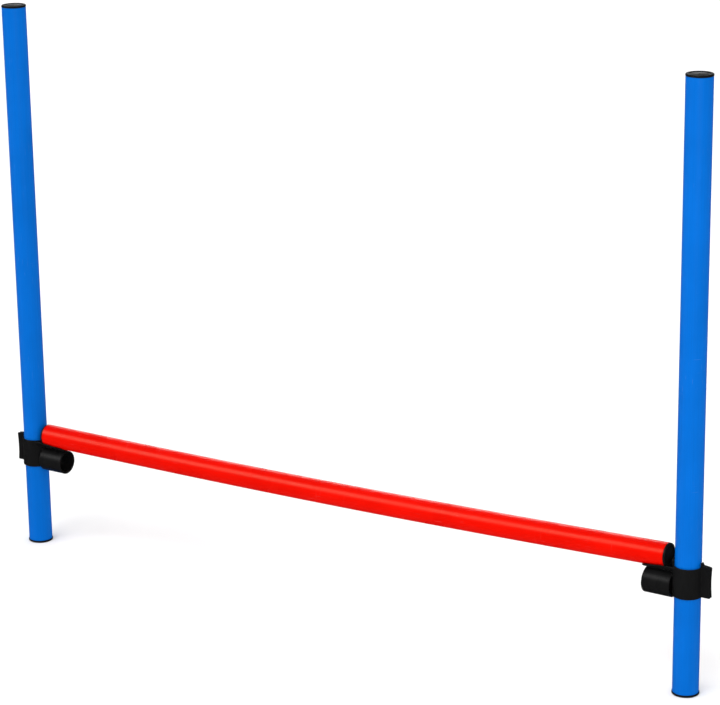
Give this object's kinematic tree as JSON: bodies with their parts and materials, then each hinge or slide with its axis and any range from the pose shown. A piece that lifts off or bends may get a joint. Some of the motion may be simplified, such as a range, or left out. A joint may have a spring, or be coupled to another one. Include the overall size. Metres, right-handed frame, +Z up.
{
  "type": "dog agility hurdle",
  "caption": "Agility hurdle for dogs: round upright posts with sliding trough clips that carry a loose round knock-off bar.",
  "frame": {"origin": "on the ground, midway between the two posts", "axes": "+X along the bar towards the right post, +Y the way the dog jumps, +Z up the posts"},
  "size_m": [1.0606, 0.0366, 0.75],
  "materials": {
    "post_blue": "smooth extruded tube, semi-gloss",
    "bar_red": "smooth extruded tube, semi-gloss",
    "plug_black": "moulded, satin",
    "clip_black": "moulded, satin"
  },
  "bodies": {
    "posts": {"post_left": "post_blue", "post_right": "post_blue", "top_plug_left": "plug_black", "top_plug_right": "plug_black", "foot_plug_left": "plug_black", "foot_plug_right": "plug_black"},
    "left_clip": {"clip_left": "clip_black"},
    "right_clip": {"clip_right": "clip_black"},
    "knock_off_bar": {"bar": "bar_red", "bar_plug_left": "plug_black", "bar_plug_right": "plug_black"}
  },
  "joints": [
    {"name": "left_clip_height", "type": "slide", "parent": "posts", "child": "left_clip", "axis": [0, 0, 1], "range_m": [-0.1, 0.57]},
    {"name": "right_clip_height", "type": "slide", "parent": "posts", "child": "right_clip", "axis": [0, 0, 1], "range_m": [-0.1, 0.57]},
    {"name": "bar_lift", "type": "slide", "parent": "left_clip", "child": "knock_off_bar", "axis": [0, 0, 1], "range_m": [0, 0.65]}
  ],
  "couplings": [
    {"joint": "right_clip_height", "follows": "left_clip_height", "ratio": 1}
  ]
}
